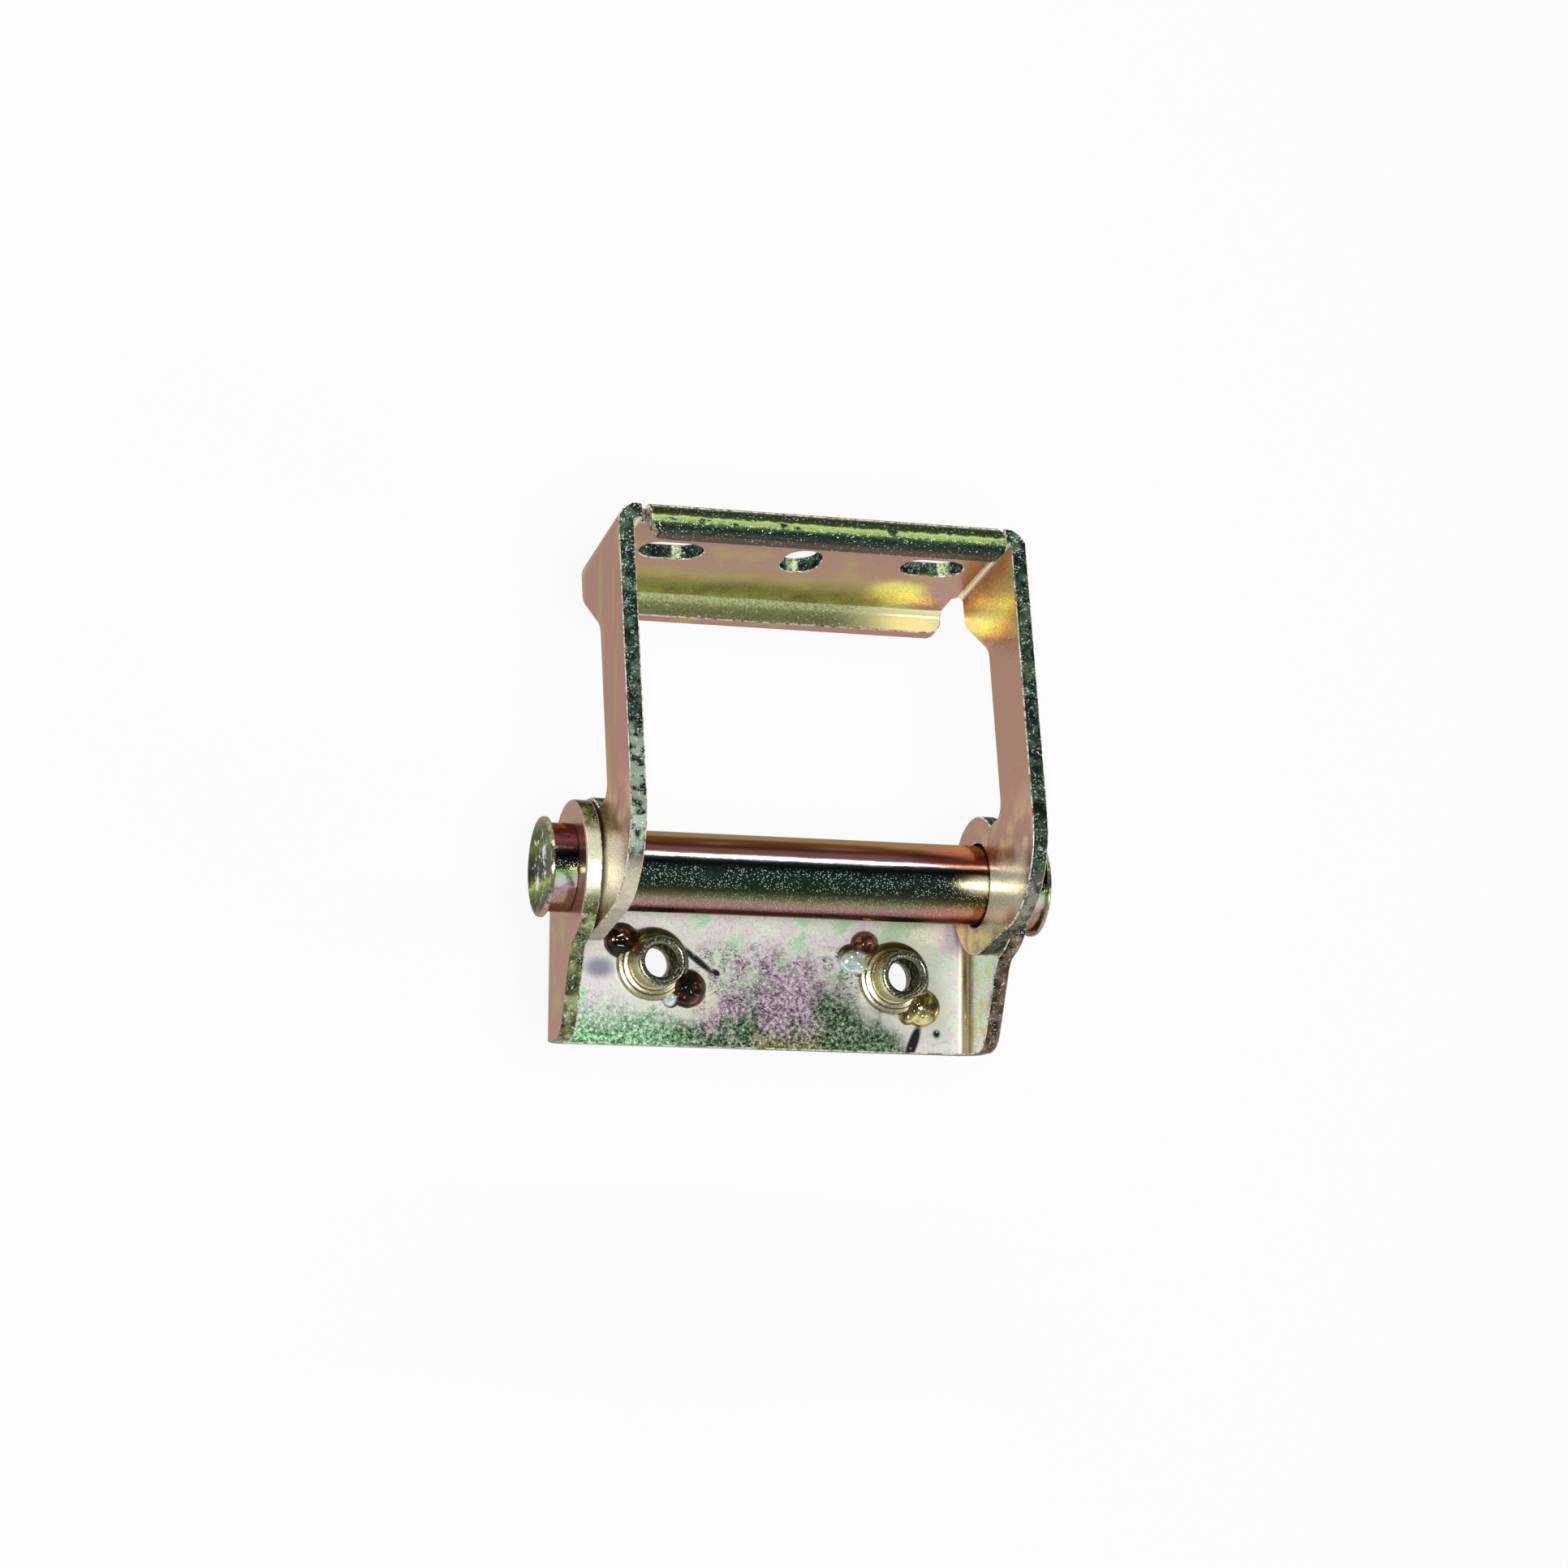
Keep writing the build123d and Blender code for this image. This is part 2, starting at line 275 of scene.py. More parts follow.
def sheet_material():
    """Smooth rolled face of the yoke: mauve, tan near the pivot with a painted pale highlight there, and a
    painted golden highlight along the bends.
    """
    s = Shader("zinc_sheet")
    u, v = s.along(up_arm), s.along(forward)
    x, y, z = s.axes()
    grain = s.noise(0.35, detail=2)
    rolled = s.noise(6, detail=3, warp=0.3, stretch=(1, 0.10, 1))
    color = s.ramp(rolled, [(0.36, ROSE), (0.46, MAUVE), (0.55, MAUVE), (0.64, TAN)])
    web = s.span(u, 62.6, 64.6)
    color = s.mix(web, color, web_color(s, u, v, x))
    inside = s.times(s.span(x, 40.0, 41.0), s.math("SUBTRACT", 1.0, web))
    color = s.mix(inside, color, inner_arm_color(s, u))

    eye = s.times(s.span(u, 16.0, -2.0), s.span(s.noise(7, detail=2, shift=8), 0.40, 0.56), 0.8)
    color = s.mix(eye, color, (0.76, 0.60, 0.34))
    # Painted highlight: a pale patch on the arms beside the tube and collars, standing for their reflection.
    uneven_y = s.plus(y, s.sway(s.noise(6, detail=1, shift=19), 3.0))
    pale = s.times(s.between(uneven_y, -7, 1, 6), s.between(z, 9, 26, 10))
    color = s.mix(s.times(pale, 0.85), color, (1.0, 0.95, 0.74))
    # Painted highlight: a bright golden line along the bends between the arms and the web.
    bend = s.times(s.between(s.math("ABSOLUTE", x), 40.4, 41.2, 0.3), s.between(u, 63.6, 66.0, 0.5))
    color = s.mix(bend, color, (1.0, 0.90, 0.62))
    fleck = s.span(s.cells(2.6, shift=11), 0.07, 0.04)
    color = s.mix(s.times(fleck, 0.6), color, CREAM)
    relief = s.bump(s.noise(6.0, detail=1), 0.04, s.bump(grain, 0.005))
    # Less metallic on the painted highlights, so that they show pale.
    shine = s.math("MULTIPLY_ADD", s.largest(pale, bend), -0.5, 0.95)
    roughness = s.span(grain, 0.3, 0.7, 0.22, 0.30)
    return s.metal(color, roughness, relief, metallic=shine, edge=(0.62, 0.52, 0.48))


def lip_material():
    """Rolled face of the lips, strained by the bend. The front is dark green, partly a painted dark
    reflection, with a painted bright yellow-green highlight along its crest; the back has a painted cream
    highlight near the fold.
    """
    s = Shader("zinc_lip")
    u, v, x = s.along(up_arm), s.along(forward), s.along(X_AXIS)
    grain = s.noise(0.6, detail=3, rough=0.7)
    rough_u = s.plus(u, s.sway(s.noise(1.4, detail=3, shift=4), 0.6))
    # Front: the dark bands are partly a painted dark reflection, and the lime band is a painted highlight
    # along the crest.
    front = s.ramp(s.span(rough_u, 60.0, 69.0, smooth=False), [
        (0.00, (0.12, 0.09, 0.085)), (0.07, (0.12, 0.09, 0.085)), (0.12, BLACK_GREEN), (0.24, BLACK),
        (0.34, (0.04, 0.08, 0.04)), (0.39, (0.42, 0.56, 0.16)), (0.50, (0.60, 0.78, 0.28)),
        (0.56, (0.04, 0.06, 0.02)), (0.78, BLACK), (0.92, MAROON), (1.00, MAROON),
    ])
    # Back: the cream band near the fold is a painted highlight.
    back = s.ramp(s.span(rough_u, 60.0, 67.0, smooth=False), [
        (0.00, (0.40, 0.32, 0.24)), (0.25, (0.24, 0.28, 0.14)), (0.50, (0.36, 0.42, 0.18)),
        (0.66, (0.66, 0.74, 0.36)), (0.84, CREAM), (1.00, (0.60, 0.60, 0.30)),
    ])
    back = s.mix(s.span(grain, 0.52, 0.40, 0.0, 0.6), back, (0.12, 0.16, 0.06))
    back = s.mix(s.span(x, 12, 32), back, (1.0, 1.0, 0.62))
    gaps = s.noise(2.2, detail=3, stretch=(0.5, 1, 1), rough=0.7, shift=31)
    front = s.mix(s.times(s.span(gaps, 0.55, 0.65), s.between(u, 62, 66, 1)), front, BLACK_GREEN)
    at_front = s.span(v, 10, 12)
    color = s.mix(at_front, back, front)
    speck = s.span(s.noise(0.45, detail=2, shift=6), 0.63, 0.70)
    color = s.mix(s.times(speck, 0.8), color, PALE)
    shine = s.math("MULTIPLY_ADD", speck, -0.3, s.math("MULTIPLY_ADD", at_front, 0.5, 0.42))
    return s.metal(color, 0.26, s.bump(grain, 0.05), metallic=shine, edge=(0.5, 0.5, 0.4))


def arm_edge_color(s, x, y, patch, grain, left, low_arm):
    """Sheared edges of the yoke: silver low on the left arm, with bright spots inside the slots."""
    # The dark colours of the edges are partly the steel's own colour and partly a painted dark reflection.
    color = s.ramp(patch, [(0.38, BLACK), (0.50, (0.02, 0.04, 0.025)), (0.62, (0.07, 0.12, 0.07))])
    silver = s.times(s.between(y, 0, 22, 7), left, s.span(patch, 0.40, 0.56))
    color = s.mix(silver, color, (0.34, 0.42, 0.32))
    tan = s.ramp(patch, [(0.4, (0.66, 0.62, 0.46)), (0.6, (0.62, 0.48, 0.40))])
    dull = s.ramp(patch, [(0.4, (0.10, 0.09, 0.07)), (0.6, (0.30, 0.26, 0.22))])
    color = s.mix(low_arm, color, s.mix(left, dull, tan))
    slot_walls = [s.between(x, low, high, 0.8) for low, high in ((-27.6, -26.4), (32.6, 34.2), (-1.2, 0.6))]
    bright = s.times(s.largest(*slot_walls), s.span(y, 50, 55), s.span(grain, 0.36, 0.54))
    return s.mix(bright, color, (0.70, 0.82, 0.46))


def cut_material():
    """Sheared edge: coarse torn grain, black and dark green with small bright facets. The black and dark
    green is partly the steel's own colour and partly a painted dark reflection, and the left ear's rim has a
    painted highlight.
    """
    s = Shader("zinc_cut_edge")
    x, y, z = s.axes()
    grain = s.noise(0.42, detail=3, rough=0.7)
    patch = s.noise(2.6, detail=3, shift=5)
    left = s.span(x, 0, -10)
    low_arm = s.times(s.span(y, 1, -5), s.span(z, 55, 35))
    arm = arm_edge_color(s, x, y, patch, grain, left, low_arm)
    left_ear = s.ramp(patch, [
        (0.36, (0.04, 0.05, 0.02)), (0.52, (0.16, 0.17, 0.06)), (0.66, (0.46, 0.48, 0.24)),
    ])
    # Painted highlight: a pale patch on the left ear's front edge, ahead of the pivot.
    rim_highlight = s.times(s.between(y, -5, 5, 4), s.span(z, 4, 12))
    left_ear = s.mix(rim_highlight, left_ear, (0.92, 0.94, 0.74))
    right_ear = s.ramp(patch, [(0.36, BLACK), (0.52, BRONZE), (0.68, (0.30, 0.22, 0.20))])
    color = s.mix(s.span(x, -45.6, -45.4), left_ear, s.mix(s.span(x, 45.4, 45.6), arm, right_ear))
    speck = s.times(s.span(grain, 0.56, 0.62), s.span(s.noise(1.8, shift=2), 0.40, 0.58))
    color = s.mix(speck, color, (0.72, 0.86, 0.74))
    # Less metallic on the painted highlight and where the left arm's edge is pale.
    pale = s.times(s.largest(low_arm, rim_highlight), left)
    shine = s.math("SUBTRACT", s.math("MULTIPLY_ADD", speck, -0.6, 0.95), s.times(pale, 0.3))
    return s.metal(color, 0.28, s.bump(grain, 0.10), metallic=shine, edge=(0.22, 0.26, 0.22))


def worn_material():
    """Thin line along a sheared edge: partly the film rubbed through to bright metal, partly a painted
    highlight.
    """
    s = Shader("worn_edge")
    broken = s.noise(1.2, detail=3, rough=0.7)
    color = s.ramp(broken, [
        (0.38, BRONZE), (0.46, (0.42, 0.40, 0.26)), (0.54, (0.80, 0.80, 0.64)), (0.62, WHITE),
    ])
    return s.metal(color, 0.30, s.bump(s.noise(0.4), 0.05), metallic=0.6)


def foot_color(s, x, y, speckle):
    """Glitter at the base plate's foot: green at the left and darker further right, with some gold."""
    green = s.ramp(speckle, [
        (0.38, (0.02, 0.05, 0.03)), (0.46, (0.10, 0.30, 0.13)), (0.53, (0.30, 0.62, 0.32)),
        (0.62, (0.86, 0.96, 0.86)),
    ])
    dark = s.ramp(speckle, [
        (0.42, BLACK), (0.49, (0.06, 0.14, 0.07)), (0.55, (0.20, 0.40, 0.18)), (0.60, (0.52, 0.40, 0.36)),
        (0.66, (0.90, 0.96, 0.82)),
    ])
    gold = s.ramp(speckle, [
        (0.40, BLACK), (0.48, (0.16, 0.18, 0.07)), (0.56, (0.46, 0.42, 0.20)), (0.65, CREAM),
    ])
    golden = s.times(s.between(x, 0, 9, 6), s.span(y, -29, -34))
    return s.mix(s.span(x, -30, -14), green, s.mix(golden, dark, gold))


def ragged_y(s, x, y, blotch):
    """Distance up the base plate, made uneven so that the foot's glitter ends in a ragged edge."""
    fray = s.sway(s.noise(1.6, detail=3, shift=14), 3.0)
    right_end, left_end = s.times(s.span(x, 26, 40), 24.0), s.times(s.span(x, -24, -40), 2.0)
    rise = s.times(s.between(x, 2, 20, 9), 4.5)
    return s.math("SUBTRACT", s.plus(y, s.sway(blotch, 7.0), fray, right_end, left_end), rise)


def heat_marks(s, color):
    """Pale halos round the weld nuts, with a blue spot near the left one."""
    halo = s.largest(s.spot(-23, -20, 24, 20), s.spot(31, -21, 24, 20))
    halo = s.times(halo, s.span(s.noise(3, detail=3, shift=6), 0.30, 0.55))
    color = s.mix(halo, color, (0.84, 0.86, 0.76))
    ring = s.largest(s.spot(-17.5, -24, 13, 12, edge=0.2), s.spot(35.5, -26, 12, 11, edge=0.2))
    color = s.mix(s.times(ring, 0.7), color, (0.88, 0.84, 0.70))
    return s.mix(s.spot(-37.9, -19.1, 6, 4, edge=0.6), color, (0.30, 0.32, 0.42))


def scratches(s, x, y):
    """1 on fine winding cracks, in the middle of the base plate."""
    crack = s.noise(1.3, detail=3, stretch=(0.55, 1.3, 1), warp=2.5, shift=12)
    line = s.times(s.span(crack, 0.460, 0.485), s.span(crack, 0.540, 0.515))
    broken = s.span(s.noise(2.4, detail=2, shift=17), 0.46, 0.53)
    cracked = s.times(s.between(x, -14, 0, 6), s.between(y, -27, -15, 4))
    return s.times(line, broken, s.largest(cracked, s.spot(15, -21, 12, 16)))


def burns(s):
    """1 on the black streaks and dots beside the weld nuts."""
    streaks = s.largest(
        s.spot(33.3, -33.4, 9.0, 2.3, angle=70),
        s.spot(38.8, -31.05, 1.7, 1.7, edge=0.5),
        s.spot(-11.8, -19.3, 2.2, 1.3, angle=-30),
        s.spot(-16.2, -16.6, 10.0, 1.5, angle=-38, edge=0.4),
    )
    return s.times(streaks, s.span(s.noise(1.1, detail=3, shift=9), 0.27, 0.37))


def base_material():
    """Base plate: pale and scratched, dark and glittering towards the foot, with weld heat marks."""
    s = Shader("zinc_base_plate")
    x, y = s.along(X_AXIS), s.along(Y_AXIS)
    fine = s.noise(0.42, detail=3, rough=0.75)
    speckle = s.noise(0.75, detail=4, rough=0.85, shift=3)
    blotch = s.noise(7, detail=3, shift=2, warp=0.5)
    pale = s.ramp(blotch, [
        (0.34, (0.58, 0.82, 0.60)), (0.44, (0.86, 0.94, 0.80)), (0.54, (0.92, 0.78, 0.86)),
        (0.66, (0.90, 0.96, 0.86)),
    ])
    pale = s.mix(s.span(speckle, 0.50, 0.36, 0.0, 0.40), pale, (0.34, 0.34, 0.34))
    foot = ragged_y(s, x, y, blotch)
    color = s.mix(s.span(foot, -32.0, -19.0), foot_color(s, x, y, speckle), pale)
    middle = s.times(s.between(x, -12, 8, 7), s.between(y, -29, -17, 6), s.span(blotch, 0.34, 0.58))
    pink = s.ramp(speckle, [
        (0.40, (0.10, 0.06, 0.09)), (0.49, (0.42, 0.30, 0.38)), (0.60, (0.88, 0.74, 0.84)),
    ])
    color = heat_marks(s, s.mix(middle, color, pink))

    scratch = scratches(s, x, y)
    color = s.mix(scratch, color, (0.03, 0.02, 0.03))
    bend = s.span(s.math("ABSOLUTE", x), 43.8, 44.7)
    color = s.mix(s.times(bend, 0.85), color, (0.62, 0.52, 0.30))
    color = s.mix(burns(s), color, BLACK)
    relief = s.bump(s.math("SUBTRACT", 1.0, scratch), 0.03, s.bump(fine, 0.05))
    shine = s.span(foot, -31.0, -22.0, 0.80, 0.40)
    return s.metal(color, s.span(fine, 0.3, 0.7, 0.30, 0.42), relief, metallic=shine, edge=(0.6, 0.6, 0.6))


def ear_material():
    """Rolled sides of the base bracket: mauve outside, pale green and gold inside."""
    s = Shader("zinc_ear")
    x, z = s.along(X_AXIS), s.along(Z_AXIS, Vector((0, 0, plate)))
    grain = s.noise(0.35, detail=2)
    outer = s.ramp(s.noise(7, detail=3, warp=0.5), [(0.38, ROSE), (0.52, MAUVE), (0.66, (0.46, 0.38, 0.20))])
    inner = s.ramp(s.noise(6, detail=2, warp=0.6, shift=4), [
        (0.34, (0.56, 0.50, 0.22)), (0.46, (0.58, 0.72, 0.50)), (0.56, (0.60, 0.76, 0.70)),
        (0.68, (0.70, 0.52, 0.54)),
    ])
    inner = s.mix(s.span(z, 5.0, 1.5, 0.0, 0.8), inner, (0.58, 0.46, 0.28))
    color = s.mix(s.span(s.math("ABSOLUTE", x), 47.0, 47.2), inner, outer)
    roughness = s.span(grain, 0.3, 0.7, 0.22, 0.32)
    return s.metal(color, roughness, s.bump(grain, 0.008), metallic=0.9, edge=(0.66, 0.56, 0.52))


def banded_material(name, stops, speck_color, waver):
    """Polished steel with bands of colour round the pivot axis: partly the film's colour, partly painted
    reflection.

    Gives the shader, its colour, shine and relief, and the distance along the axis and angle round it."""
    s = Shader(name)
    x, y, z = s.axes()
    angle = s.times(s.math("ARCTAN2", y, z), 180 / pi)
    drift = s.noise(1.0, detail=3, stretch=(0.12, 1, 1), rough=0.6)
    angle = s.plus(angle, s.sway(drift, waver))
    color = s.ramp(s.span(angle, -180, 180, smooth=False), [((a + 180) / 360, tone) for a, tone in stops])
    grain = s.cells(0.42)
    patch = s.span(s.noise(3.0, detail=2, shift=15), 0.30, 0.50)
    bright = s.times(s.between(angle, -24, 0, 8), patch)
    dim = s.times(s.between(angle, -62, -36, 6), patch, 0.5)
    speck = s.times(s.span(grain, 0.36, 0.20), s.largest(bright, dim))
    color = s.mix(speck, color, speck_color)
    shine = s.math("MULTIPLY_ADD", speck, -0.6, 0.96)
    return s, color, shine, s.bump(grain, 0.008), x, angle


# Colours by angle from the top of the pivot, in degrees, with the base's foot at -90. They are partly the
# film's colour and partly painted reflection; the near-white bands are painted highlights.
TUBE_BANDS = [
    (-178, BRONZE), (-140, OLIVE), (-110, TAN), (-96, BRONZE), (-80, MAROON), (-66, (0.20, 0.09, 0.08)),
    (-56, (0.36, 0.19, 0.18)), (-48, (0.28, 0.20, 0.13)), (-40, (0.14, 0.13, 0.06)),
    (-30, (0.06, 0.08, 0.03)), (-18, (0.04, 0.08, 0.05)), (-4, (0.04, 0.08, 0.07)), (8, BLACK),
    (15, (0.05, 0.06, 0.06)), (19, (0.95, 0.92, 0.88)), (24, (0.24, 0.13, 0.12)), (36, (0.22, 0.08, 0.06)),
    (46, (0.34, 0.17, 0.09)), (62, (0.40, 0.28, 0.14)), (90, OLIVE), (130, ROSE), (178, BRONZE),
]
COLLAR_BANDS = [
    (-178, BRONZE), (-120, TAN), (-90, (0.30, 0.22, 0.14)), (-62, (0.30, 0.18, 0.13)),
    (-40, (0.38, 0.24, 0.20)), (-30, (0.96, 0.74, 0.80)), (-22, WHITE), (-14, (0.45, 0.82, 0.36)),
    (-6, BLACK_GREEN), (10, BLACK),
    (22, (0.10, 0.07, 0.06)), (30, (0.56, 0.24, 0.32)), (42, (0.20, 0.06, 0.06)), (60, (0.20, 0.05, 0.03)),
    (90, (0.22, 0.10, 0.06)), (140, OLIVE), (178, BRONZE),
]


def tube_material():
    """The tube's bands, warmer towards its right end, with a painted pale highlight at that end."""
    s, color, shine, relief, x, angle = banded_material(
        "zinc_tube", TUBE_BANDS, (0.60, 0.84, 0.70), waver=4.0)
    tint = s.ramp(s.span(x, 20, 42), [
        (0.0, (0.5, 0.5, 0.5)), (0.6, (0.64, 0.46, 0.48)), (1.0, (0.80, 0.52, 0.34)),
    ])
    color = s.mix(1.0, color, tint, blend="OVERLAY")
    # Painted highlight: a pale patch near the tube's right end, standing for the bright arm's reflection.
    pale = s.times(s.span(x, 33, 41), s.between(angle, -16, 2, 9))
    color = s.mix(pale, color, (1.0, 0.96, 0.72))
    return s.metal(color, 0.20, relief, metallic=shine, edge=(0.5, 0.45, 0.4))


def collar_material():
    """The collars' bands, made less metallic in patches across the painted white highlight band, so that it
    shows pale.
    """
    s, color, shine, relief, _, angle = banded_material(
        "zinc_collar", COLLAR_BANDS, (0.8, 0.9, 0.7), waver=7.0)
    pale = s.times(s.between(angle, -30, -14, 6), s.span(s.noise(2.5, shift=23), 0.36, 0.56))
    shine = s.largest(s.math("SUBTRACT", shine, s.times(pale, 0.55)), 0.3)
    return s.metal(color, 0.14, relief, metallic=shine, edge=(0.5, 0.45, 0.4))


def rivet_material():
    """Headed pin: green, black and mauve bands across it, partly a painted dark reflection, with painted
    glints and a golden rim.
    """
    s = Shader("zinc_rivet")
    y, z = s.along(Y_AXIS), s.along(Z_AXIS)
    reach = s.hypotenuse(y, z)
    lumps = s.noise(1.3, detail=3, rough=0.6)
    height = s.plus(y, s.sway(lumps, 2.5))
    color = s.ramp(s.span(height, -11, 11, smooth=False), [
        (0.04, MAUVE), (0.12, MAROON), (0.20, (0.07, 0.11, 0.03)), (0.27, (0.20, 0.30, 0.10)), (0.32, LIME),
        (0.38, (0.10, 0.14, 0.04)), (0.44, BLACK), (0.54, BLACK_GREEN), (0.62, (0.06, 0.10, 0.04)),
        (0.70, (0.20, 0.24, 0.08)), (0.78, (0.06, 0.10, 0.03)), (0.88, (0.16, 0.20, 0.08)), (0.95, MAUVE),
        (1.0, ROSE),
    ])
    # Painted glints: bright specks over the middle of the head, and two bright spots.
    bright = s.times(s.span(lumps, 0.60, 0.66), s.span(reach, 8.8, 6.5))
    for middle_y, middle_z in ((2.7, 3.0), (-3.0, -2.5)):
        away = s.hypotenuse(s.math("SUBTRACT", y, middle_y), s.math("SUBTRACT", z, middle_z))
        bright = s.largest(bright, s.span(s.plus(away, s.sway(lumps, 3.0)), 2.0, 0.9))
    color = s.mix(bright, color, (0.90, 0.95, 0.80))
    rim = s.times(s.span(reach, 9.6, 10.0), s.span(s.noise(1.0, shift=3), 0.3, 0.6), 0.8)
    color = s.mix(rim, color, (0.52, 0.46, 0.36))
    shine = s.math("MULTIPLY_ADD", bright, -0.5, 0.95)
    return s.metal(color, 0.20, s.bump(lumps, 0.10), metallic=shine, edge=(0.45, 0.45, 0.4))


def nut_material():
    """Weld nut: rings of pale gold and brown on the flange as painted highlights, painted shade over its
    upper right side, a dull mouth and a dark bore.
    """
    s = Shader("zinc_nut")
    left, right = centre("weld_nut_left"), centre("weld_nut_right")
    apart = (right - left) / MM
    z = s.along(Z_AXIS, Vector((0, 0, plate)))
    at_right = s.span(s.along(X_AXIS), -1, 1)
    x = s.math("SUBTRACT", s.along(X_AXIS, left), s.times(at_right, apart.x))
    y = s.math("SUBTRACT", s.along(Y_AXIS, left), s.times(at_right, apart.y))
    grain = s.noise(0.4, detail=3)
    ring = s.plus(s.hypotenuse(x, y), s.sway(s.noise(1.5), 0.15))
    gold, brown = (0.86, 0.82, 0.54), (0.16, 0.11, 0.05)
    # Painted highlights: the bright and dark rings on the flange.
    color = s.ramp(s.span(ring, 3.0, 8.0, smooth=False), [
        (0.00, (0.16, 0.16, 0.12)), (0.20, (0.30, 0.29, 0.22)), (0.42, gold), (0.50, gold), (0.55, brown),
        (0.62, gold), (0.70, CREAM), (0.76, brown), (0.84, CREAM), (0.92, gold), (1.00, BRONZE),
    ])
    # Painted shade: the upper right side of each nut darker.
    toward_shaded_side = s.plus(x, y, s.sway(s.noise(3.0, detail=2, shift=5), 3.0))
    color = s.mix(s.span(toward_shaded_side, -1.0, 5.0, 0.0, 0.85), color, (0.13, 0.12, 0.06))
    dull = s.ramp(grain, [(0.42, (0.10, 0.10, 0.06)), (0.56, (0.22, 0.23, 0.17)), (0.66, WHITE)])
    color = s.mix(s.times(s.span(z, 8.2, 8.7), 0.95), color, dull)
    return s.metal(color, s.span(grain, 0.3, 0.7, 0.18, 0.28), s.bump(grain, 0.006), metallic=0.95)


def weld_material():
    """Weld metal: glossy and nearly black, with one bead reddish, one gold and two frosted patches."""
    s = Shader("weld_metal")
    blotch = s.noise(3.5, detail=2, warp=0.5)
    fine = s.noise(0.5, detail=3, rough=0.7)
    color = s.ramp(blotch, [(0.36, BLACK), (0.52, (0.06, 0.025, 0.02)), (0.66, (0.14, 0.08, 0.05))])
    red = s.ramp(blotch, [(0.36, MAROON), (0.52, (0.22, 0.11, 0.08)), (0.64, (0.50, 0.32, 0.26))])
    color = s.mix(s.spot(22.0, -12.2, 7.0, 7.0), color, red)
    gold = s.ramp(blotch, [(0.40, BRONZE), (0.50, (0.48, 0.38, 0.12)), (0.60, (0.84, 0.74, 0.36))])
    color = s.mix(s.spot(33.6, -25.6, 11.0, 9.0), color, gold)
    frost = s.largest(s.spot(19.0, -16.4, 7.0, 5.0), s.spot(-22.6, -25.6, 2.6, 3.0))
    frost = s.times(frost, s.span(fine, 0.26, 0.44))
    color = s.mix(frost, color, (0.76, 0.92, 0.84))
    shine = s.math("MULTIPLY_ADD", frost, -0.4, 0.9)
    return s.metal(color, 0.14, s.bump(fine, 0.003), metallic=shine, coat=0.3)


materials = {}


def make_materials():
    materials.update(
        sheet=sheet_material(), lip=lip_material(), cut=cut_material(), worn=worn_material(),
        base=base_material(), ear=ear_material(), tube=tube_material(), collar=collar_material(),
        rivet=rivet_material(), nut=nut_material(), weld=weld_material(),
    )


def finish_mesh(bm, name, body, surface, node):
    """Makes an object of the mesh with smooth shading. It stands for a node and rides on its body."""
    sharp_from = radians(38)
    bmesh.ops.recalc_face_normals(bm, faces=bm.faces)
    mesh = bpy.data.meshes.new(name)
    bm.to_mesh(mesh)
    bm.free()
    for key in surface:
        mesh.materials.append(materials[key])
    mesh.shade_smooth()
    mesh.set_sharp_from_angle(angle=sharp_from)
    piece = bpy.data.objects.new(name, mesh)
    bpy.context.scene.collection.objects.link(piece)
    piece.modifiers.new("even_normals", "WEIGHTED_NORMAL").keep_sharp = True
    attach(piece, body)
    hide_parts(node)
    return piece


def round_sharp_edges(bm, offset, is_chosen):
    """Rounds the chosen edges among those that turn sharply. Gives the new faces."""
    sharp_turn = radians(40)
    sharp = [e for e in bm.edges if len(e.link_faces) == 2 and e.calc_face_angle(0) > sharp_turn]
    chosen = [e for e in sharp if is_chosen(e)]
    made = bmesh.ops.bevel(bm, geom=chosen, offset=offset, segments=3, profile=0.5, affect="EDGES")
    return made["faces"]


def keep_inside(bm, node):
    """Pulls every point back into the node's own box."""
    low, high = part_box(node)
    for vert in bm.verts:
        vert.co = [min(max(value, least), most) for value, least, most in zip(vert.co, low, high)]


def stamping(node, name, body, surface, kind_of_face, is_rolled_over):
    """The node's own shape with its sheared edges rounded and each face in its material."""
    die_roll, burr = 0.5 * MM, 0.25 * MM
    flat_within = radians(0.6)
    bm = bmesh.new()
    bm.from_mesh(frame["nodes"][node].data)
    bmesh.ops.remove_doubles(bm, verts=bm.verts, dist=1e-6)
    bmesh.ops.dissolve_limit(bm, angle_limit=flat_within, verts=bm.verts, edges=bm.edges)
    round_sharp_edges(bm, die_roll, is_rolled_over)
    # Faces of the small rounding on every sharp edge, carrying the film's wear and a painted highlight.
    worn = round_sharp_edges(bm, burr, lambda edge: True)
    keep_inside(bm, node)
    for face in bm.faces:
        face.material_index = kind_of_face(face.calc_center_median(), face.normal)
    for face in worn:
        face.material_index = len(surface) - 1
    return finish_mesh(bm, name, body, surface, node)


ROLLED, LIP, CUT, WEAR_AND_HIGHLIGHT = 0, 1, 2, 3
BASE, EAR, BASE_CUT = 0, 1, 2
arm_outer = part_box("upper_frame")[1].x
ear_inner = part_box("spacer_tube")[1].x
ear_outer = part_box("lower_bracket")[1].x


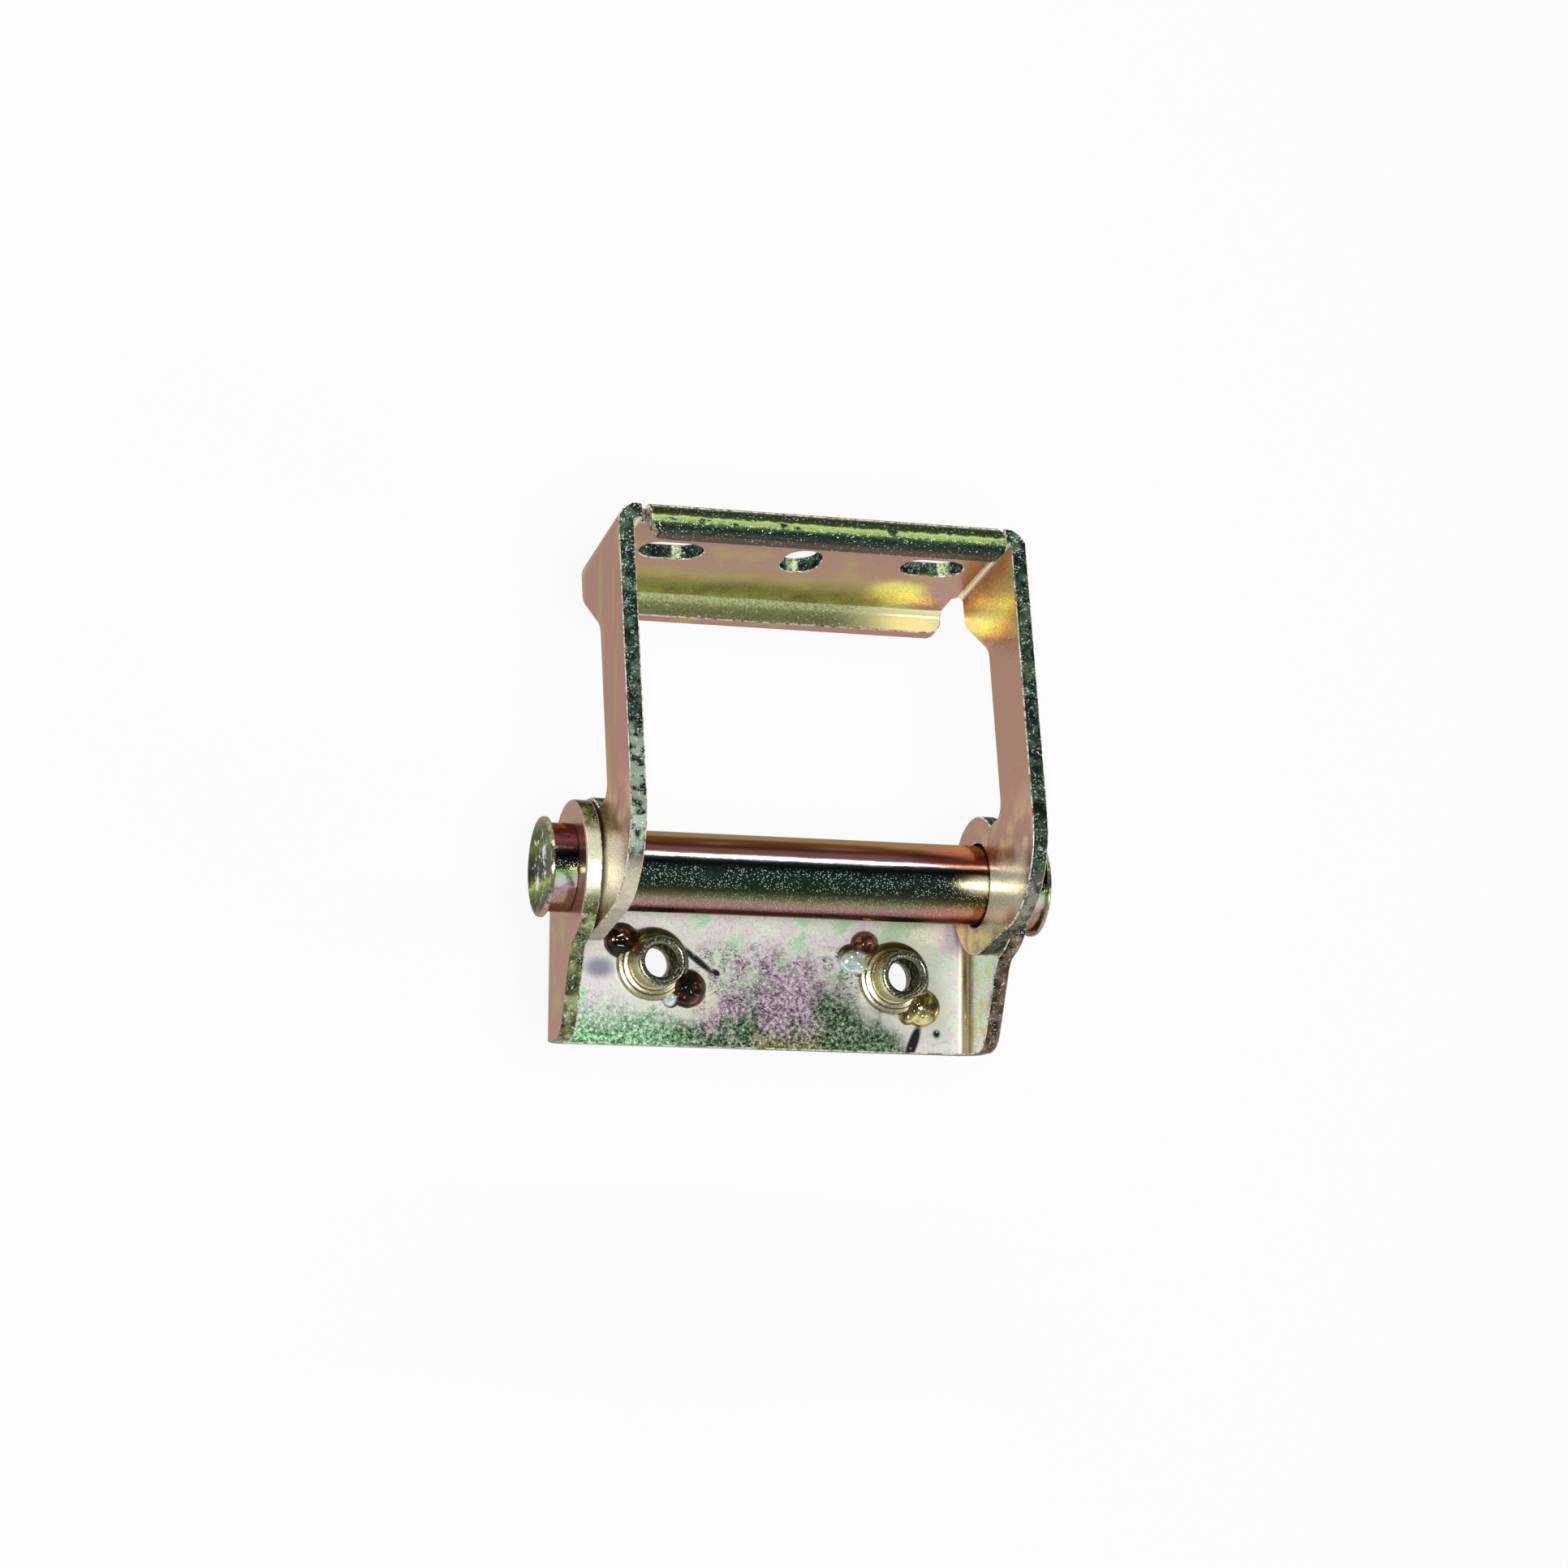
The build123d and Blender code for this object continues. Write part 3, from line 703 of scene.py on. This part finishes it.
def kind_of_yoke_face(point, normal):
    """Rolled, lip or sheared, by where a face of the yoke lies and where it points."""
    offset = point - pivot
    u, v = offset.dot(up_arm), offset.dot(forward)
    ahead, outward, sideways = normal.dot(forward), normal.dot(up_arm), abs(normal.x)
    in_lips = abs(offset.x) < lip_half + 0.9 * MM and u > arm_length - 9 * MM
    if in_lips and (v > arm_front - 4 * MM or v < shoulder_back - 2 * MM):
        if sideways > 0.6:
            return WEAR_AND_HIGHLIGHT if v > arm_front else ROLLED
        on_rim = outward < -0.6 and u < arm_length - plate - 2 * MM
        front_face = v > arm_front - 3 * MM and (ahead > 0.02 or on_rim)
        back_inside = v < shoulder_back and ahead > 0.3
        return LIP if front_face or back_inside else ROLLED
    if u > arm_length - plate - 0.2 * MM and abs(offset.x) < arm_inner - 2 * MM:
        return ROLLED if abs(outward) > 0.7 else CUT
    if u > arm_length - plate - 2 * MM and abs(ahead) < 0.5:
        return ROLLED
    if abs(offset.x) > arm_outer - 0.5 * MM and 0.4 < sideways < 0.9:
        return WEAR_AND_HIGHLIGHT
    return ROLLED if sideways > 0.7 else CUT


def yoke_rolls_over(edge):
    """Whether the punch rounded this edge of the yoke: the ones on its outer side."""
    offset = (edge.verts[0].co + edge.verts[1].co) / 2 - pivot
    on_web = offset.dot(up_arm) > arm_length - 0.05 * MM
    on_lip = offset.dot(forward) > arm_front + plate - 0.05 * MM
    return abs(offset.x) > arm_outer - 0.05 * MM or on_web or on_lip


def kind_of_base_face(point, normal):
    """Base plate, ear or sheared, by where a face of the bracket lies and where it points."""
    if abs(normal.x) > 0.6:
        return EAR if point.z > 6 * MM or abs(point.x) > ear_inner - 4 * MM else BASE_CUT
    if abs(point.x) > ear_inner - 0.4 * MM and point.z > 5 * MM:
        return BASE_CUT
    return BASE if abs(normal.z) > 0.6 else BASE_CUT


def base_rolls_over(edge):
    middle = (edge.verts[0].co + edge.verts[1].co) / 2
    return abs(middle.x) > ear_outer - 0.05 * MM or middle.z < 0.05 * MM


def ring_rows(bm, rows, segments, place):
    """Skins a closed stack of rings. A row gives a radius for a turn from 0 to 1, and a distance."""
    rings = []
    for radius_at, distance in rows:
        turns = [i / segments for i in range(segments)]
        rings.append([bm.verts.new(place(radius_at(turn), turn, distance)) for turn in turns])
    for ring, following in zip(rings, rings[1:] + rings[:1]):
        for i in range(segments):
            j = (i + 1) % segments
            bm.faces.new((ring[i], ring[j], following[j], following[i]))


def constant(radius):
    return lambda turn: radius


def round_pivot(radius, turn, distance):
    """A point round the pivot axis, at a distance along it."""
    return pivot + Vector((distance, radius * sin(2 * pi * turn), radius * cos(2 * pi * turn)))


def turned_piece(name, node, profile, material):
    """A piece turned about the pivot axis, from (distance, radius) points round its section."""
    segments = 128
    bm = bmesh.new()
    ring_rows(bm, [(constant(radius), distance) for distance, radius in profile], segments, round_pivot)
    bmesh.ops.remove_doubles(bm, verts=bm.verts, dist=1e-7)
    return finish_mesh(bm, name, "root", (material,), node)


def corner_arc(x, r, x_side, r_side, size, steps=4):
    """Points of a rounded corner of a section, from its end face to its round face."""
    points = []
    for i in range(steps + 1):
        turn = i / steps * pi / 2
        points.append((x - x_side * size * (1 - sin(turn)), r - r_side * size * (1 - cos(turn))))
    return points


def make_pivot():
    """The tube, the collars and the headed pin."""
    edge, chamfer, collar_wall = 0.4 * MM, 0.12 * MM, 3.2 * MM
    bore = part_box("left_collar")[1].z - pivot.z - collar_wall
    end = ear_inner
    outer = corner_arc(-end, tube_radius, -1, 1, edge)
    profile = outer + [(-x, r) for x, r in reversed(outer)] + [(end, bore), (-end, bore)]
    turned_piece("tube", "spacer_tube", profile, "tube")

    low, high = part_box("left_collar")
    radius = (high.z - low.z) / 2
    for side, hand in ((-1, "left"), (1, "right")):
        near, far = side * ear_outer, side * (ear_outer + high.x - low.x)
        profile = [(near, bore), (near, radius - edge), (near + side * chamfer, radius - chamfer),
                   (near + side * edge, radius), (far, radius), (far, bore)]
        turned_piece(f"collar_{hand}", f"{hand}_collar", profile, "collar")

    low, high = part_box("pivot_rivet")
    tip, head = high.x, (high.z - low.z) / 2
    under = ear_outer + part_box("right_collar")[1].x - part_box("right_collar")[0].x
    shank, dish = 6.0 * MM, 0.25 * MM
    half = [(under, shank), (under, head - 0.1 * MM), (under + 0.1 * MM, head), (tip - edge, head)]
    half += [(tip - chamfer, head - chamfer), (tip, head - edge), (tip, head - 1.2 * MM)]
    half += [(tip - 0.04 * MM, 0.78 * head), (tip - dish, 0.66 * head)]
    half += [(tip - dish, 0.3 * head), (tip - dish, 0.0)]
    profile = [(-x, r) for x, r in reversed(half)] + half
    turned_piece("pivot_pin", "pivot_rivet", profile, "rivet")


def make_nut(hand):
    """A weld nut with rings on its flange and a real helical thread in its bore."""
    low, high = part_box(f"weld_nut_{hand}")
    middle = (low + high) / 2
    flange, height = (high.x - low.x) / 2, high.z - low.z
    collar, bore, lead_in = 5.35 * MM, 3.4 * MM, 1.0 * MM
    pitch, depth, step = 2.0 * MM, 0.55 * MM, 0.16 * MM
    segments = 96
    outline = [
        (bore, 0.0), (flange - 0.2 * MM, 0.0), (flange, 0.2 * MM), (flange, 1.3 * MM),
        (flange - 0.25 * MM, 1.7 * MM), (flange - 0.8 * MM, 1.9 * MM), (flange - 1.0 * MM, 1.78 * MM),
        (flange - 1.2 * MM, 1.9 * MM), (flange - 1.7 * MM, 2.0 * MM), (collar + 0.35 * MM, 2.1 * MM),
        (collar + 0.1 * MM, 2.3 * MM), (collar, 2.6 * MM), (collar, height - 0.5 * MM),
        (collar - 0.15 * MM, height - 0.15 * MM), (collar - 0.45 * MM, height),
        (bore + lead_in + 0.1 * MM, height), (bore + lead_in - 0.15 * MM, height - 0.1 * MM),
    ]
    rows = [(constant(radius), distance) for radius, distance in outline]

    def groove(distance):
        fade = min(1.0, distance / pitch, (height - lead_in * 0.6 - distance) / (0.4 * pitch))
        return lambda turn: bore + max(0.0, fade) * depth * (1 - abs(2 * ((distance / pitch - turn) % 1) - 1))

    top = height - lead_in
    count = int(top / step)
    rows += [(groove(top * (1 - i / count)), top * (1 - i / count)) for i in range(count)]

    def place(radius, turn, distance):
        angle = 2 * pi * turn
        return Vector((middle.x + radius * cos(angle), middle.y + radius * sin(angle), low.z + distance))

    bm = bmesh.new()
    ring_rows(bm, rows, segments, place)
    finish_mesh(bm, f"threaded_nut_{hand}", "root", ("nut",), f"weld_nut_{hand}")


# Lobes of each weld bead: place from the nut's axis, radius and height, in millimetres
BEADS = {
    ("left", "upper"): [(-6.9, 4.9, 4.0, 3.0), (-4.6, 5.4, 2.4, 2.6)],
    ("left", "lower"): [(8.0, -5.0, 4.3, 3.1), (4.2, -7.2, 2.2, 2.2)],
    ("right", "upper"): [(-6.6, 7.0, 3.3, 3.2), (-9.6, 4.0, 3.3, 2.2), (-7.6, 2.2, 2.2, 2.4)],
    ("right", "lower"): [(6.6, -6.2, 4.3, 3.0), (3.4, -8.0, 2.2, 2.0)],
}


def make_bead(hand, level):
    """A tack weld: round lobes that run into each other and thin out to a ragged toe."""
    nut_low, nut_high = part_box(f"weld_nut_{hand}")
    axis = (nut_low + nut_high) / 2
    low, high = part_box(f"weld_bead_{hand}_{level}")
    lobes = [(axis.x / MM + dx, axis.y / MM + dy, r, h) for dx, dy, r, h in BEADS[hand, level]]
    heart = Vector((sum(lobe[0] for lobe in lobes), sum(lobe[1] for lobe in lobes))) / len(lobes)
    rays, rings = 72, 22
    stride, strides = 0.08, 160
    lump_size, sharing = 0.20, 4

    def height_at(x, y):
        top = 0.0
        for cx, cy, radius, height in lobes:
            share = 1 - hypot(x - cx, y - cy) ** 2 / radius ** 2
            if share > 0:
                top += (height * share ** 0.55) ** sharing
        lump = noise.noise(Vector((x, y, 0)) * 0.6) * lump_size
        return top ** (1 / sharing) * (1 + lump)

    def toe(angle):
        reach = 0.0
        for i in range(strides):
            step = i * stride
            if height_at(heart.x + step * cos(angle), heart.y + step * sin(angle)) > 0:
                reach = step
        return reach * (1 + 0.04 * noise.noise(Vector((cos(angle), sin(angle), 0)) * 2.5))

    def held(value, least, most):
        return min(max(value, least), most)

    bm = bmesh.new()
    rim_highlight = bm.verts.new(Vector((heart.x, heart.y, 0)) * MM + Vector((0, 0, plate + height_at(*heart) * MM)))
    loops = []
    for ring in range(1, rings + 1):
        loop = []
        for ray in range(rays):
            angle = 2 * pi * ray / rays
            reach = toe(angle) * (ring / rings) ** 0.8
            x, y = heart.x + reach * cos(angle), heart.y + reach * sin(angle)
            x, y = held(x * MM, low.x, high.x), held(y * MM, low.y, high.y)
            top = 0 if ring == rings else height_at(x / MM, y / MM) * MM
            loop.append(bm.verts.new((x, y, plate + min(top, high.z - plate))))
        loops.append(loop)
    for i in range(rays):
        bm.faces.new((rim_highlight, loops[0][i], loops[0][(i + 1) % rays]))
    for inner, outer in zip(loops, loops[1:]):
        for i in range(rays):
            j = (i + 1) % rays
            bm.faces.new((inner[i], outer[i], outer[j], inner[j]))
    bm.faces.new(loops[-1])
    finish_mesh(bm, f"bead_{hand}_{level}", "root", ("weld",), f"weld_bead_{hand}_{level}")


def make_stage():
    """Pale floor under the yoke's lowest reach, with its own light for the camera and in reflections."""
    own_light, clearance = 0.85, 2 * MM
    s = Shader("floor")
    rays = s.add("ShaderNodeLightPath").outputs
    seen = s.largest(rays["Is Camera Ray"], rays["Is Glossy Ray"], rays["Is Transmission Ray"])
    dull = s.add("ShaderNodeBsdfDiffuse")
    dull.inputs["Color"].default_value = (0.9, 0.9, 0.9, 1)
    glow = s.add("ShaderNodeEmission")
    glow.inputs["Color"].default_value = (1, 1, 1, 1)
    blend = s.add("ShaderNodeMixShader")
    s.put(blend.inputs[0], s.times(seen, own_light))
    s.put(blend.inputs[1], dull.outputs[0])
    s.put(blend.inputs[2], glow.outputs[0])
    s.put(s.output.inputs["Surface"], blend.outputs[0])
    bm = bmesh.new()
    bmesh.ops.create_grid(bm, x_segments=1, y_segments=1, size=3.0)
    mesh = bpy.data.meshes.new("floor")
    bm.to_mesh(mesh)
    bm.free()
    mesh.materials.append(s.material)
    floor = bpy.data.objects.new("floor", mesh)
    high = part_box("upper_frame")[1] - pivot
    floor.location.z = pivot.z - hypot(high.y, high.z) - clearance
    bpy.context.scene.collection.objects.link(floor)


def make_world():
    """White below and round the horizon, dimmer towards the ceiling."""
    world = bpy.data.worlds.new("studio")
    bpy.context.scene.world = world
    world.use_nodes = True
    tree = world.node_tree
    tree.nodes.clear()
    add, link = tree.nodes.new, tree.links.new
    split = add("ShaderNodeSeparateXYZ")
    link(add("ShaderNodeTexCoord").outputs["Generated"], split.inputs[0])
    dome = add("ShaderNodeValToRGB")
    points = dome.color_ramp.elements
    points.new(0.5)
    for point, (height, level) in zip(points, ((0.12, 1.0), (0.62, 0.30), (0.85, 0.16))):
        point.position = height
        point.color = (level, level, level, 1)
    link(split.outputs["Z"], dome.inputs[0])
    lit, output = add("ShaderNodeBackground"), add("ShaderNodeOutputWorld")
    link(dome.outputs[0], lit.inputs["Color"])
    link(lit.outputs[0], output.inputs["Surface"])


def lamp(name, direction, distance, size, power, length=None):
    """A soft rectangular lamp that faces the object."""
    data = bpy.data.lights.new(name, "AREA")
    data.energy = power
    data.size = size
    if length:
        data.shape = "RECTANGLE"
        data.size = length
        data.size_y = size
    made = bpy.data.objects.new(name, data)
    toward = Vector(direction).normalized()
    made.location = pivot + toward * distance
    made.rotation_mode = "QUATERNION"
    made.rotation_quaternion = toward.to_track_quat("Z", "Y")
    bpy.context.scene.collection.objects.link(made)


def make_lamps():
    lamp("key", (-0.20, -0.13, 0.97), 1.0, 0.25, 5.5)
    lamp("strip", (0.05, 0.73, 0.69), 0.9, 0.04, 1.6, length=0.9)
    lamp("fill", (0.70, -0.30, 0.65), 1.2, 0.5, 1.5)


make_camera()
make_materials()
stamping("upper_frame", "yoke", "yoke", ("sheet", "lip", "cut", "worn"), kind_of_yoke_face, yoke_rolls_over)
stamping("lower_bracket", "base_bracket", "root", ("base", "ear", "cut", "worn"), kind_of_base_face,
         base_rolls_over)
make_pivot()
for hand in ("left", "right"):
    make_nut(hand)
    for level in ("upper", "lower"):
        make_bead(hand, level)
make_stage()
make_world()
make_lamps()
bpy.context.scene.view_settings.view_transform = "Standard"
